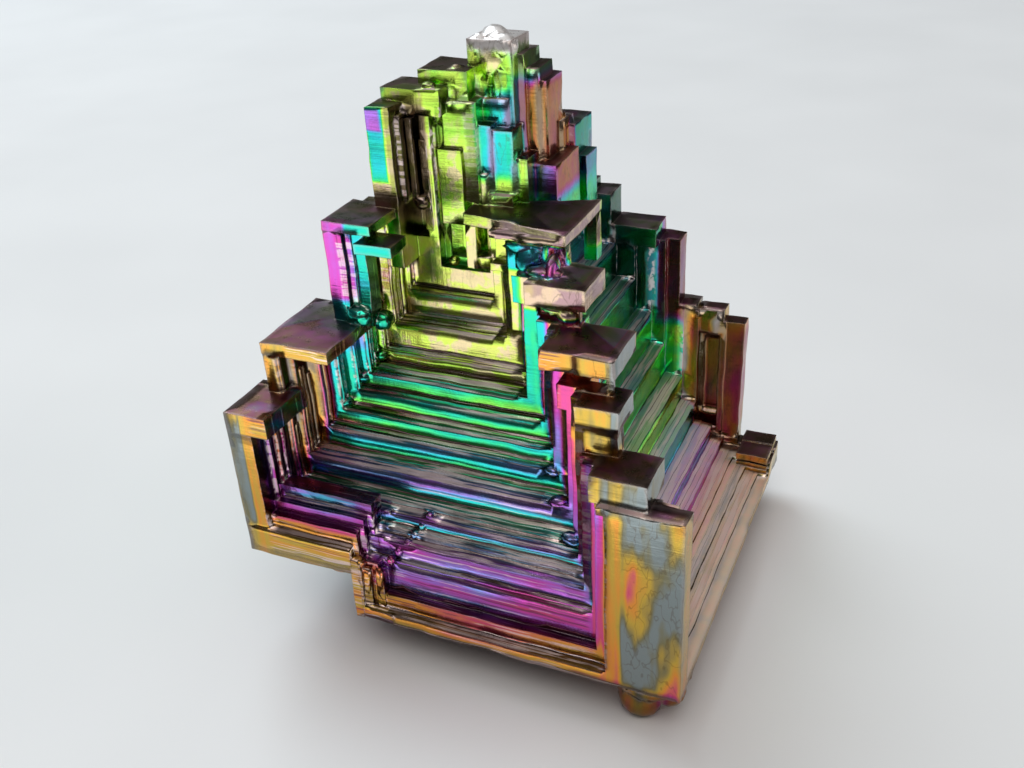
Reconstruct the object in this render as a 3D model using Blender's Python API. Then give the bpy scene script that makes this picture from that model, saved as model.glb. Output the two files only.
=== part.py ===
"""Bismuth hopper crystal: a stepped skeletal crystal grown as one piece.

Four corner ridges climb like stairs from a square base to a tower.  Between the
ridges each side is sunk in nested frames, the hopper, and the corners carry
overhanging caps on legs.  Lumps of solidified melt hang under the base.

Frame: +Z up, crystal faces square to X and Y, origin at the middle of the base.
All lengths are in millimetres and become metres when a box is made.
"""

import math
from typing import NamedTuple

import bpy

MM = 0.001

# Driving dimensions (mm)
WIDTH = 48.0          # along X
DEPTH = 44.0          # along Y
BASE_RISE = 4.4       # underside of the crystal above the surface it stands on
PEAK = 55.0           # top of the tower above the underside
CORE = (-6.0, 5.0)    # axis on which the four ridges meet

LEFT, RIGHT = -WIDTH / 2, WIDTH / 2
FRONT, BACK = -DEPTH / 2, DEPTH / 2
ABOVE = PEAK + 20.0   # cutters reach this high
OUTSIDE = 10.0        # cutters start this far outside the crystal


class Step(NamedTuple):
    """One block of a ridge: its outer corner in plan and its top."""

    x: float
    y: float
    top: float


class Frame(NamedTuple):
    """One frame of a hopper: plane it is sunk to, its floor, and its two side walls."""

    plane: float
    floor: float
    near: float
    far: float


class Box(NamedTuple):
    """A box given by its spans along X, Y and Z."""

    x: tuple
    y: tuple
    z: tuple


FRONT_RIDGE = (
    Step(RIGHT, FRONT, 20.9),
    Step(20.3, -21.3, 23.6),
    Step(16.5, -17.9, 28.4),
    Step(15.3, -15.5, 32.0),
    Step(10.7, -10.3, 35.9),
    Step(7.1, -5.8, 38.6),
)
LEFT_RIDGE = (
    Step(LEFT, -21.9, 22.8),
    Step(-21.9, -16.8, 28.6),
    Step(-17.2, -10.0, 39.5),
    Step(-13.9, -4.8, 49.5),
)
RIGHT_RIDGE = (
    Step(23.9, 21.95, 2.7),
    Step(19.3, 21.6, 19.4),
    Step(16.8, 21.9, 20.7),
    Step(13.6, 21.7, 21.4),
    Step(11.7, 20.8, 29.8),
    Step(9.4, 20.1, 31.6),
    Step(4.1, 19.6, 35.2),
    Step(1.9, 18.9, 36.3),
)
BACK_RIDGE = (
    Step(-22.9, 21.2, 13.4),
    Step(-21.0, 20.3, 18.2),
    Step(-19.2, 18.8, 24.9),
    Step(-16.9, 17.9, 31.4),
    Step(-14.2, 16.7, 36.9),
    Step(-12.4, 15.2, 42.3),
)

# Hoppers, outermost frame first.  Side walls run along X on the front and back,
# along Y on the left and right.
FRONT_HOPPER = (
    Frame(-19.6, 7.0, -21.1, 14.6),
    Frame(-18.6, 9.3, -20.8, 13.6),
    Frame(-17.8, 10.1, -20.6, 13.1),
    Frame(-16.5, 11.4, -20.5, 12.4),
    Frame(-15.0, 12.0, -20.3, 11.5),
    Frame(-12.6, 14.7, -19.6, 9.5),
    Frame(-11.4, 17.0, -18.4, 8.0),
    Frame(-10.1, 18.7, -16.9, 7.3),
    Frame(-9.1, 20.7, -15.6, 5.7),
    Frame(-6.5, 22.5, -14.6, 2.9),
    Frame(-5.3, 23.9, -13.9, 2.3),
    Frame(-2.6, 26.8, -13.0, -1.1),
    Frame(-1.6, 29.7, -12.3, -2.2),
    Frame(-0.4, 32.2, -8.7, -3.0),
)
# The lowest frames of the front stop at the jog, where the left part ends higher.
JOG = -11.4
LOW_FRONT_HOPPER = (
    Frame(-21.1, 1.4, -10.3, 16.5),
    Frame(-20.1, 3.2, -8.6, 15.3),
)
RIGHT_HOPPER = (
    Frame(22.6, 0.9, -19.6, 16.7),
    Frame(21.0, 1.3, -19.2, 17.0),
    Frame(19.25, 1.9, -18.8, 17.3),
    Frame(17.5, 2.45, -18.1, 19.7),
    Frame(16.1, 3.65, -16.6, 19.6),
    Frame(14.0, 5.7, -15.2, 19.5),
    Frame(12.3, 8.6, -13.4, 18.8),
    Frame(10.2, 12.2, -10.5, 18.3),
    Frame(8.6, 16.5, -7.7, 17.6),
    Frame(6.8, 20.85, -4.4, 17.2),
    Frame(4.6, 25.1, -1.9, 16.6),
    Frame(2.5, 29.4, 0.2, 15.9),
)
LEFT_HOPPER = (
    Frame(-23.1, 6.9, -14.8, 14.9),
    Frame(-22.3, 8.1, -13.9, 14.3),
    Frame(-21.35, 10.7, -11.9, 13.7),
    Frame(-20.1, 13.9, -9.8, 13.1),
    Frame(-18.9, 17.3, -7.7, 12.4),
    Frame(-17.7, 21.1, -5.9, 11.7),
    Frame(-16.3, 25.3, -3.5, 10.9),
    Frame(-15.1, 29.7, -2.2, 10.2),
    Frame(-13.7, 34.2, -0.4, 9.3),
)
BACK_HOPPER = (
    Frame(21.3, 1.95, -16.2, 9.9),
    Frame(20.5, 3.1, -15.3, 8.7),
    Frame(19.45, 5.6, -14.4, 1.5),
    Frame(18.3, 9.1, -13.35, -1.8),
    Frame(17.1, 13.3, -12.15, -2.6),
    Frame(16.0, 18.1, -10.9, -3.7),
    Frame(14.8, 23.2, -9.75, -4.6),
)

# Hollows under the caps and between the ridges, besides the hoppers.
HOLLOWS = (
    Box((LEFT - OUTSIDE, JOG), (FRONT - OUTSIDE, -9.3), (-OUTSIDE, 5.55)),
    Box((LEFT - OUTSIDE, -15.7), (FRONT - OUTSIDE, 2.4), (-OUTSIDE, 4.35)),
    Box((17.15, 30.0), (15.0, 19.75), (3.55, ABOVE)),
    Box((13.85, 16.45), (19.0, 20.6), (4.2, 17.6)),
    Box((14.3, 16.15), (19.0, 21.1), (6.2, 16.85)),
    Box((-11.6, -9.8), (-6.0, 1.75), (35.4, ABOVE)),
    Box((8.75, 14.6), (-18.0, -12.7), (28.5, 30.05)),
    Box((11.9, 18.0), (-14.75, -9.75), (28.6, 30.2)),
    Box((5.3, 10.05), (-13.0, -8.55), (32.1, 33.6)),
    Box((8.25, 13.0), (-9.65, -5.4), (32.2, 33.75)),
    Box((3.3, 12.0), (-4.05, 2.9), (33.3, 37.9)),
    Box((-3.7, 5.2), (-9.0, -3.9), (35.15, 37.85)),
)

# Caps, legs and posts of the corners.
FRONT_CORNER = (
    Box((15.8, 23.9), (-21.97, -19.85), (20.1, 20.95)),
    Box((14.85, 20.35), (-21.35, -16.4), (20.85, 23.65)),
    Box((12.35, 16.55), (-17.95, -13.65), (26.3, 28.45)),
    Box((8.05, 15.35), (-15.45, -9.1), (30.1, 32.05)),
    Box((4.65, 10.75), (-10.35, -4.9), (33.7, 35.95)),
    Box((7.2, 8.3), (-11.9, -10.5), (19.9, 31.5)),
)
LEFT_CORNER = (
    Box((-23.95, -19.0), (-21.95, -14.9), (20.5, 22.85)),
    Box((-23.9, -22.35), (-21.85, -19.4), (5.9, 21.3)),
    Box((-22.45, -21.95), (-20.8, -18.7), (5.95, 20.8)),
    Box((-23.85, -11.25), (-21.99, -18.3), (5.6, 8.8)),
    Box((-22.4, -10.7), (-21.12, -18.4), (5.65, 10.3)),
    Box((-22.3, -10.2), (-20.25, -18.2), (5.7, 11.6)),
    Box((-21.6, -9.6), (-19.3, -17.3), (5.75, 13.1)),
    Box((-21.95, -14.0), (-16.85, -6.1), (27.3, 28.65)),
    Box((-21.85, -20.45), (-16.75, -13.9), (21.9, 27.9)),
    Box((-17.25, -11.7), (-10.05, -3.7), (38.55, 39.6)),
    Box((-17.15, -15.15), (-9.95, -8.3), (27.9, 39.1)),
    Box((-14.35, -13.0), (-9.2, -7.4), (28.1, 38.9)),
    Box((-13.4, -9.3), (-10.6, -7.2), (36.7, 37.8)),
)
RIGHT_CORNER = (
    Box((19.9, 23.65), (16.5, BACK), (-0.2, 3.6)),
    Box((4.1, 9.45), (16.0, 20.15), (29.4, 31.65)),
    Box((13.75, 16.85), (19.85, 21.95), (17.45, 20.75)),
)
JOG_CORNER = (
    Box((-11.45, -10.5), (-21.94, -16.2), (-0.1, 7.4)),
    Box((-10.35, -9.45), (-21.5, -16.3), (0.1, 6.3)),
    Box((-9.0, -8.1), (-21.2, -16.35), (0.15, 6.1)),
)
BACK_CORNER = (
    Box((-22.95, -17.9), (16.1, 21.25), (11.7, 13.45)),
    Box((-19.25, -14.6), (13.4, 18.85), (23.1, 24.95)),
    Box((-14.25, -9.7), (11.9, 16.75), (35.3, 36.95)),
)

# Tower: plates and prisms standing side by side on the core.
TOWER = (
    Box((-13.2, 0.4), (1.35, 14.1), (20.0, 43.7)),
    Box((-13.95, -11.3), (-4.85, 1.2), (33.0, 49.75)),
    Box((-13.6, -7.25), (-1.95, 2.45), (48.4, 50.95)),
    Box((-12.7, -7.6), (-0.1, 3.3), (36.0, 49.2)),
    Box((-11.5, -10.9), (-3.7, 1.1), (39.9, 48.7)),
    Box((-10.8, -10.2), (-2.6, 1.0), (39.4, 48.2)),
    Box((-10.5, -9.55), (-2.7, -1.3), (39.2, 40.1)),
    Box((-9.95, -9.2), (-1.7, 1.05), (36.2, 45.8)),
    Box((-9.1, -8.45), (-0.9, 1.15), (35.7, 47.3)),
    Box((-10.45, -5.2), (0.25, 5.35), (41.0, 52.35)),
    Box((-7.9, -5.15), (-0.45, 2.35), (33.1, 49.3)),
    Box((-8.2, -5.6), (-1.2, 1.9), (37.0, 44.9)),
    Box((-4.85, -2.9), (0.3, 3.1), (33.9, 47.2)),
    Box((-4.1, -3.35), (-0.35, 2.9), (34.1, 42.3)),
    Box((-5.9, -1.15), (2.4, 6.75), (40.5, PEAK)),
    Box((-4.5, -1.6), (1.75, 5.3), (44.9, 49.45)),
    Box((-3.2, -0.75), (0.6, 3.85), (38.1, 46.7)),
    Box((-1.95, -0.6), (3.75, 8.05), (38.2, 53.4)),
    Box((-0.9, 0.55), (4.4, 8.6), (37.3, 51.9)),
    Box((0.15, 1.25), (5.2, 9.3), (36.7, 50.6)),
    Box((-0.7, 1.6), (8.2, 11.4), (34.3, 45.7)),
    Box((-1.85, 2.15), (10.2, 15.35), (33.9, 44.75)),
    Box((-1.2, 2.75), (3.3, 9.9), (33.1, 42.6)),
    Box((1.3, 3.15), (11.1, 14.2), (32.3, 41.2)),
    Box((-9.9, -2.1), (6.3, 12.2), (40.1, 47.9)),
    Box((-12.9, -8.7), (4.1, 10.8), (40.6, 45.9)),
)

# Wide top cap of the front ridge: a wedge, narrow at its left end.
TOP_CAP_THICKNESS = 1.15
TOP_CAP_TOP = 39.15
TOP_CAP_RIGHT = Box((7.2, 7.2), (-5.9, 4.5), (0.0, 0.0))
TOP_CAP_LEFT = Box((-4.9, -4.5), (-3.15, -0.35), (0.0, 0.0))
TOP_CAP_LEGS = (
    Box((-4.75, -3.55), (-3.12, -1.2), (33.2, 38.4)),
    Box((-4.7, -2.2), (-3.05, -1.1), (33.25, 34.5)),
    Box((5.55, 7.05), (-5.65, -4.2), (35.7, 38.5)),
    Box((5.75, 7.15), (3.0, 4.4), (33.0, 38.45)),
    Box((-0.9, 3.4), (-3.6, 4.1), (30.0, 38.6)),
    Box((0.7, 2.1), (-5.35, -3.3), (28.0, 37.2)),
)


class Lump(NamedTuple):
    """A rounded lump of melt: centre and half-sizes."""

    x: float
    y: float
    z: float
    size: tuple


LUMPS = (
    Lump(19.5, -19.9, -2.3, (2.35, 1.95, 2.6)),
    Lump(18.4, -19.2, -0.9, (1.9, 2.1, 2.2)),
    Lump(22.4, -17.2, -0.3, (1.3, 1.7, 1.5)),
    Lump(22.1, -18.9, -1.9, (1.45, 1.55, 1.6)),
    Lump(-1.5, 2.5, -1.9, (11.5, 9.5, 3.6)),
    Lump(-9.5, 9.0, -2.1, (7.5, 6.5, 3.3)),
    Lump(8.5, 7.5, -2.2, (7.0, 7.5, 3.1)),
    Lump(6.5, -5.5, -1.8, (6.5, 5.0, 3.4)),
    Lump(20.6, 18.7, -0.3, (2.6, 2.4, 1.6)),
    Lump(-18.7, 16.8, -0.5, (2.5, 2.7, 1.8)),
    Lump(-3.9, 4.6, 54.3, (1.75, 1.6, 2.0)),
    Lump(-2.6, 4.0, 53.9, (1.35, 1.3, 1.7)),
    Lump(-6.9, 2.0, 51.6, (1.1, 1.15, 1.0)),
    Lump(5.9, -4.9, 36.2, (1.3, 1.2, 1.7)),
    Lump(3.3, -5.0, 36.6, (2.2, 1.0, 1.6)),
    Lump(6.4, -7.4, 35.9, (2.3, 1.3, 0.8)),
    Lump(8.55, -8.95, 32.85, (1.85, 1.5, 1.35)),
    Lump(-15.0, -8.15, 28.95, (1.85, 1.75, 1.25)),
)


def clear_scene():
    """Remove what a new Blender file starts with."""
    for thing in list(bpy.data.objects):
        bpy.data.objects.remove(thing, do_unlink=True)


def new_collection(name):
    """Return a new collection linked to the scene."""
    group = bpy.data.collections.new(name)
    bpy.context.scene.collection.children.link(group)
    return group


def move_to(thing, group):
    """Put an object in one collection only."""
    for old in list(thing.users_collection):
        old.objects.unlink(thing)
    group.objects.link(thing)


def hide_as_tool(thing):
    """Mark an object as a tool of the Booleans, not a piece."""
    thing.hide_render = True
    thing.display_type = "WIRE"


def add_box(name, box, group):
    """Add a box, its spans in millimetres measured from the crystal's underside."""
    spans = [tuple(sorted(span)) for span in box]
    centre = [(low + high) / 2 for low, high in spans]
    centre[2] += BASE_RISE
    bpy.ops.mesh.primitive_cube_add(size=1.0, location=[c * MM for c in centre])
    thing = bpy.context.object
    thing.name = name
    thing.scale = [(high - low) * MM for low, high in spans]
    move_to(thing, group)
    hide_as_tool(thing)
    return thing


def add_ridge(name, ridge, group):
    """Add the blocks of one ridge, each reaching from its corner past the core axis."""
    for number, step in enumerate(ridge):
        past = 1.0 + 0.23 * number
        inner_x = CORE[0] - math.copysign(past, step.x - CORE[0])
        inner_y = CORE[1] - math.copysign(past, step.y - CORE[1])
        bottom = 0.13 * number
        box = Box((step.x, inner_x), (step.y, inner_y), (bottom, step.top))
        add_box(f"{name}_{number}", box, group)


def add_hopper(name, hopper, side, group):
    """Add the cutters of one hopper; side is the axis (0 or 1) and sign it opens to."""
    axis, sign = side
    outer = sign * ((WIDTH if axis == 0 else DEPTH) / 2 + OUTSIDE)
    for number, frame in enumerate(hopper):
        across = (frame.plane, outer)
        along = (frame.near, frame.far)
        spans = (across, along) if axis == 0 else (along, across)
        add_box(f"{name}_{number}", Box(spans[0], spans[1], (frame.floor, ABOVE)), group)


def add_boxes(name, boxes, group):
    """Add a numbered row of boxes."""
    for number, box in enumerate(boxes):
        add_box(f"{name}_{number}", box, group)


def add_top_cap(group):
    """Add the wide cap as a box whose left end is pinched."""
    low, high = TOP_CAP_TOP - TOP_CAP_THICKNESS, TOP_CAP_TOP
    span_x = (TOP_CAP_LEFT.x[0], TOP_CAP_RIGHT.x[0])
    cap = add_box("top_cap", Box(span_x, TOP_CAP_RIGHT.y, (low, high)), group)
    centre_y = sum(TOP_CAP_RIGHT.y) / 2
    length_y = TOP_CAP_RIGHT.y[1] - TOP_CAP_RIGHT.y[0]
    for vertex in cap.data.vertices:
        if vertex.co.x < 0.0:
            target = TOP_CAP_LEFT.y[0] if vertex.co.y < 0.0 else TOP_CAP_LEFT.y[1]
            vertex.co.y = (target - centre_y) / length_y


def add_lumps(group):
    """Add the rounded lumps of melt."""
    for number, lump in enumerate(LUMPS):
        place = (lump.x * MM, lump.y * MM, (lump.z + BASE_RISE) * MM)
        bpy.ops.mesh.primitive_ico_sphere_add(subdivisions=2, radius=1.0, location=place)
        thing = bpy.context.object
        thing.name = f"lump_{number}"
        thing.scale = [half * MM for half in lump.size]
        thing.rotation_euler = (0.31 * number, 0.17 * number, 0.53 * number)
        move_to(thing, group)
        hide_as_tool(thing)


def add_boolean(thing, name, operation, group):
    """Join or cut an object with every object of a collection."""
    modifier = thing.modifiers.new(name, "BOOLEAN")
    modifier.operation = operation
    modifier.operand_type = "COLLECTION"
    modifier.collection = group
    modifier.solver = "EXACT"


def bismuth_material():
    """Return the oxidised metal's base material."""
    material = bpy.data.materials.new("bismuth_oxide_film")
    material.use_nodes = True
    shader = material.node_tree.nodes["Principled BSDF"]
    shader.inputs["Base Color"].default_value = (0.42, 0.38, 0.18, 1.0)
    shader.inputs["Metallic"].default_value = 1.0
    shader.inputs["Roughness"].default_value = 0.22
    return material


def build():
    """Build the crystal as one solid."""
    clear_scene()
    pieces = new_collection("bismuth_hopper_crystal")
    mass = new_collection("mass_boxes")
    sunk = new_collection("hopper_cutters")
    ledges = new_collection("ledge_boxes")
    trims = new_collection("trim_cutters")

    add_ridge("front_ridge", FRONT_RIDGE, mass)
    add_ridge("left_ridge", LEFT_RIDGE, mass)
    add_ridge("right_ridge", RIGHT_RIDGE, mass)
    add_ridge("back_ridge", BACK_RIDGE, mass)

    add_hopper("front_hopper", FRONT_HOPPER, (1, -1), sunk)
    add_hopper("low_front_hopper", LOW_FRONT_HOPPER, (1, -1), sunk)
    add_hopper("right_hopper", RIGHT_HOPPER, (0, 1), sunk)
    add_hopper("left_hopper", LEFT_HOPPER, (0, -1), sunk)
    add_hopper("back_hopper", BACK_HOPPER, (1, 1), sunk)
    add_boxes("hollow", HOLLOWS, sunk)

    add_boxes("front_corner", FRONT_CORNER, ledges)
    add_boxes("left_corner", LEFT_CORNER, ledges)
    add_boxes("right_corner", RIGHT_CORNER, ledges)
    add_boxes("back_corner", BACK_CORNER, ledges)
    add_boxes("jog_corner", JOG_CORNER, ledges)
    add_boxes("tower", TOWER, ledges)
    add_boxes("top_cap_leg", TOP_CAP_LEGS, ledges)
    add_top_cap(ledges)
    add_lumps(ledges)

    floor = Box((LEFT * 2, RIGHT * 2), (FRONT * 2, BACK * 2), (-BASE_RISE - OUTSIDE, -BASE_RISE))
    add_box("floor", floor, trims)

    seed = Box((CORE[0] - 5.1, CORE[0] + 5.3), (CORE[1] - 5.2, CORE[1] + 5.4), (1.6, 40.2))
    crystal = add_box("bismuth_crystal", seed, pieces)
    crystal.hide_render = False
    crystal.display_type = "TEXTURED"
    add_boolean(crystal, "grow_ridges", "UNION", mass)
    add_boolean(crystal, "sink_hoppers", "DIFFERENCE", sunk)
    add_boolean(crystal, "add_ledges", "UNION", ledges)
    add_boolean(crystal, "trim_floor", "DIFFERENCE", trims)
    crystal.data.materials.append(bismuth_material())


build()
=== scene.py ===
"""Bismuth hopper crystal, dressed: fine growth steps, melted spots and the oxide film's colours.

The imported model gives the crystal's blocks, caps and hoppers.  Here a copy of it gets the
finer steps that grew between the main ones, thin ribs on the walls, rounded lumps of melt
and slightly rippled faces, and a metal finish whose tint follows the thickness of the film.
Lengths in the classes are millimetres in the crystal's own frame, +Z up.  Heights in them
count from the crystal's underside, which its feet hold above the table.
"""

from __future__ import annotations

import logging
import math
import random
from collections.abc import Callable, Sequence
from dataclasses import dataclass
from enum import Enum

import bpy
from mathutils import Matrix, Vector


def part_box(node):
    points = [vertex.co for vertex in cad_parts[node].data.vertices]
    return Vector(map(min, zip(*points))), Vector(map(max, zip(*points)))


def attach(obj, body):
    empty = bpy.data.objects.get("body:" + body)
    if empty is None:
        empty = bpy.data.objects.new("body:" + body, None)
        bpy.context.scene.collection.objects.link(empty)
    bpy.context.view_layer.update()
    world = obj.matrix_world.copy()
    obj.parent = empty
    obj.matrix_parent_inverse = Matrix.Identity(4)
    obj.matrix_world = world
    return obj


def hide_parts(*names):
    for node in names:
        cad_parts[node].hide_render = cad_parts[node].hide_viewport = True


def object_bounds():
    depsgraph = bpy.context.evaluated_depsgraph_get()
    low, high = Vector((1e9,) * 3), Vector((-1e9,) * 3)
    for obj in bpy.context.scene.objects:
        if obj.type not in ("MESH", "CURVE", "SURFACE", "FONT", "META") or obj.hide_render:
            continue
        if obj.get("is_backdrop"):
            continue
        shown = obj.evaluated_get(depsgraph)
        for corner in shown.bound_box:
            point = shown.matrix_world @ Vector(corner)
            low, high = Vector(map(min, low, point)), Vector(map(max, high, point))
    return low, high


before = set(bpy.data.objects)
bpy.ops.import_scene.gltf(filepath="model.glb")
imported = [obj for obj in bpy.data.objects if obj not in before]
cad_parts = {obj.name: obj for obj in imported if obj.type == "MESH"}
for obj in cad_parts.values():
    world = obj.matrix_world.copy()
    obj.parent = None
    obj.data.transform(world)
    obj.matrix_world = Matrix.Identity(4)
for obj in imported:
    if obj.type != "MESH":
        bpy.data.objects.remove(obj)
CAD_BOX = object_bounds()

LOG = logging.getLogger("crystal")
MM = 0.001
JOG = -11.4           # left of it the front face hangs higher
RISE = 4.4            # underside of the crystal above the table
HALF_WIDTH = 24.0
HALF_DEPTH = 22.0
GRID_TOP = 57.0       # the faces are divided up to this height
BEYOND = 6.0          # cutters start this far outside the crystal
NODE = "bismuth_crystal"

Thing = bpy.types.Object
Socket = bpy.types.NodeSocket
Span = tuple[float, float]
Triple = tuple[float, float, float]
Stops = tuple[tuple[float, float], ...]


class Side(Enum):
    """The four sides a hopper can open to: axis number and sign of its outward direction."""

    FRONT = (1, -1)
    RIGHT = (0, 1)
    BACK = (1, 1)
    LEFT = (0, -1)

    @property
    def axis(self) -> int:
        """Return the axis number, 0 for X or 1 for Y."""
        return self.value[0]

    @property
    def sign(self) -> int:
        """Return +1 or -1, the outward direction along the axis."""
        return self.value[1]

    @property
    def reach(self) -> float:
        """Return the distance of the crystal's outer plane from the middle."""
        return HALF_WIDTH if self.axis == 0 else HALF_DEPTH


# --------------------------------------------------------------------------- shader maths


def operator(operation: str, flipped: bool = False) -> Callable[[Value, Value | float], Value]:
    """Return the method behind one operator on two values.

    Args:
        operation: Name of the maths node's operation.
        flipped: Whether the other value comes first.

    Returns:
        The method.
    """

    def method(self: Value, other: Value | float) -> Value:
        """Return the operator's result.

        Args:
            self: First value, or second where flipped.
            other: The other value.

        Returns:
            The result.
        """
        return self.apply(operation, *((other, self) if flipped else (self, other)))

    return method


class Value:
    """A shader socket that can be used in Python arithmetic."""

    def __init__(self, tree: bpy.types.NodeTree, socket: Socket) -> None:
        """Wrap a socket.

        Args:
            tree: Node tree that the socket belongs to.
            socket: Output socket to wrap.
        """
        self.tree = tree
        self.socket = socket

    def apply(self, operation: str, *terms: Value | float, clamp: bool = False) -> Value:
        """Return the result of a maths node.

        Args:
            operation: Name of the node's operation.
            *terms: Its inputs in order.
            clamp: Whether the result is held between 0 and 1.

        Returns:
            The result.
        """
        node = self.tree.nodes.new("ShaderNodeMath")
        node.operation = operation
        node.use_clamp = clamp
        for slot, term in enumerate(terms):
            if isinstance(term, Value):
                self.tree.links.new(term.socket, node.inputs[slot])
            else:
                node.inputs[slot].default_value = term
        return Value(self.tree, node.outputs[0])

    __add__ = operator("ADD")
    __radd__ = operator("ADD", flipped=True)
    __sub__ = operator("SUBTRACT")
    __rsub__ = operator("SUBTRACT", flipped=True)
    __mul__ = operator("MULTIPLY")
    __rmul__ = operator("MULTIPLY", flipped=True)
    __truediv__ = operator("DIVIDE")
    least = operator("MINIMUM")
    most = operator("MAXIMUM")

    def __abs__(self) -> Value:
        """Return the value without its sign."""
        return self.apply("ABSOLUTE", self)

    def clamped(self) -> Value:
        """Return this value held between 0 and 1."""
        return self.apply("ADD", self, 0.0, clamp=True)

    def ramp(self, low: float, high: float) -> Value:
        """Return a smooth step from 0 at low to 1 at high.

        Args:
            low: Where the step starts.
            high: Where it ends; may be below low for a falling step.

        Returns:
            The step's value.
        """
        t = ((self - low) / (high - low)).clamped()
        return t * t * (3.0 - 2.0 * t)

    def mix(self, other: Value | float, share: Value | float) -> Value:
        """Return a blend from this value to another.

        Args:
            other: Value at share 1.
            share: How much of the other to use.

        Returns:
            The blend.
        """
        return self + (other - self) * share


@dataclass(frozen=True)
class Point:
    """The point being shaded: its place in millimetres and how its flat face lies.

    Height counts from the crystal's underside.  Sideways is 1 on faces that look along X,
    rightward on those that look to +X and up on level ones.
    """

    place: Socket
    x: Value
    y: Value
    z: Value
    height: Value
    sideways: Value
    rightward: Value
    up: Value


def fill_ramp(ramp: bpy.types.ColorRamp, stops: Sequence[tuple[float, Triple]]) -> None:
    """Give a colour ramp its stops.

    Args:
        ramp: Ramp with its first two elements.
        stops: Positions and colours.
    """
    for _ in range(len(stops) - 2):
        ramp.elements.new(0.5)
    for element, (place, _) in zip(ramp.elements, stops):
        element.position = place
    for element, (_, colour) in zip(ramp.elements, stops):
        element.color = (*colour, 1.0)


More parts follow.
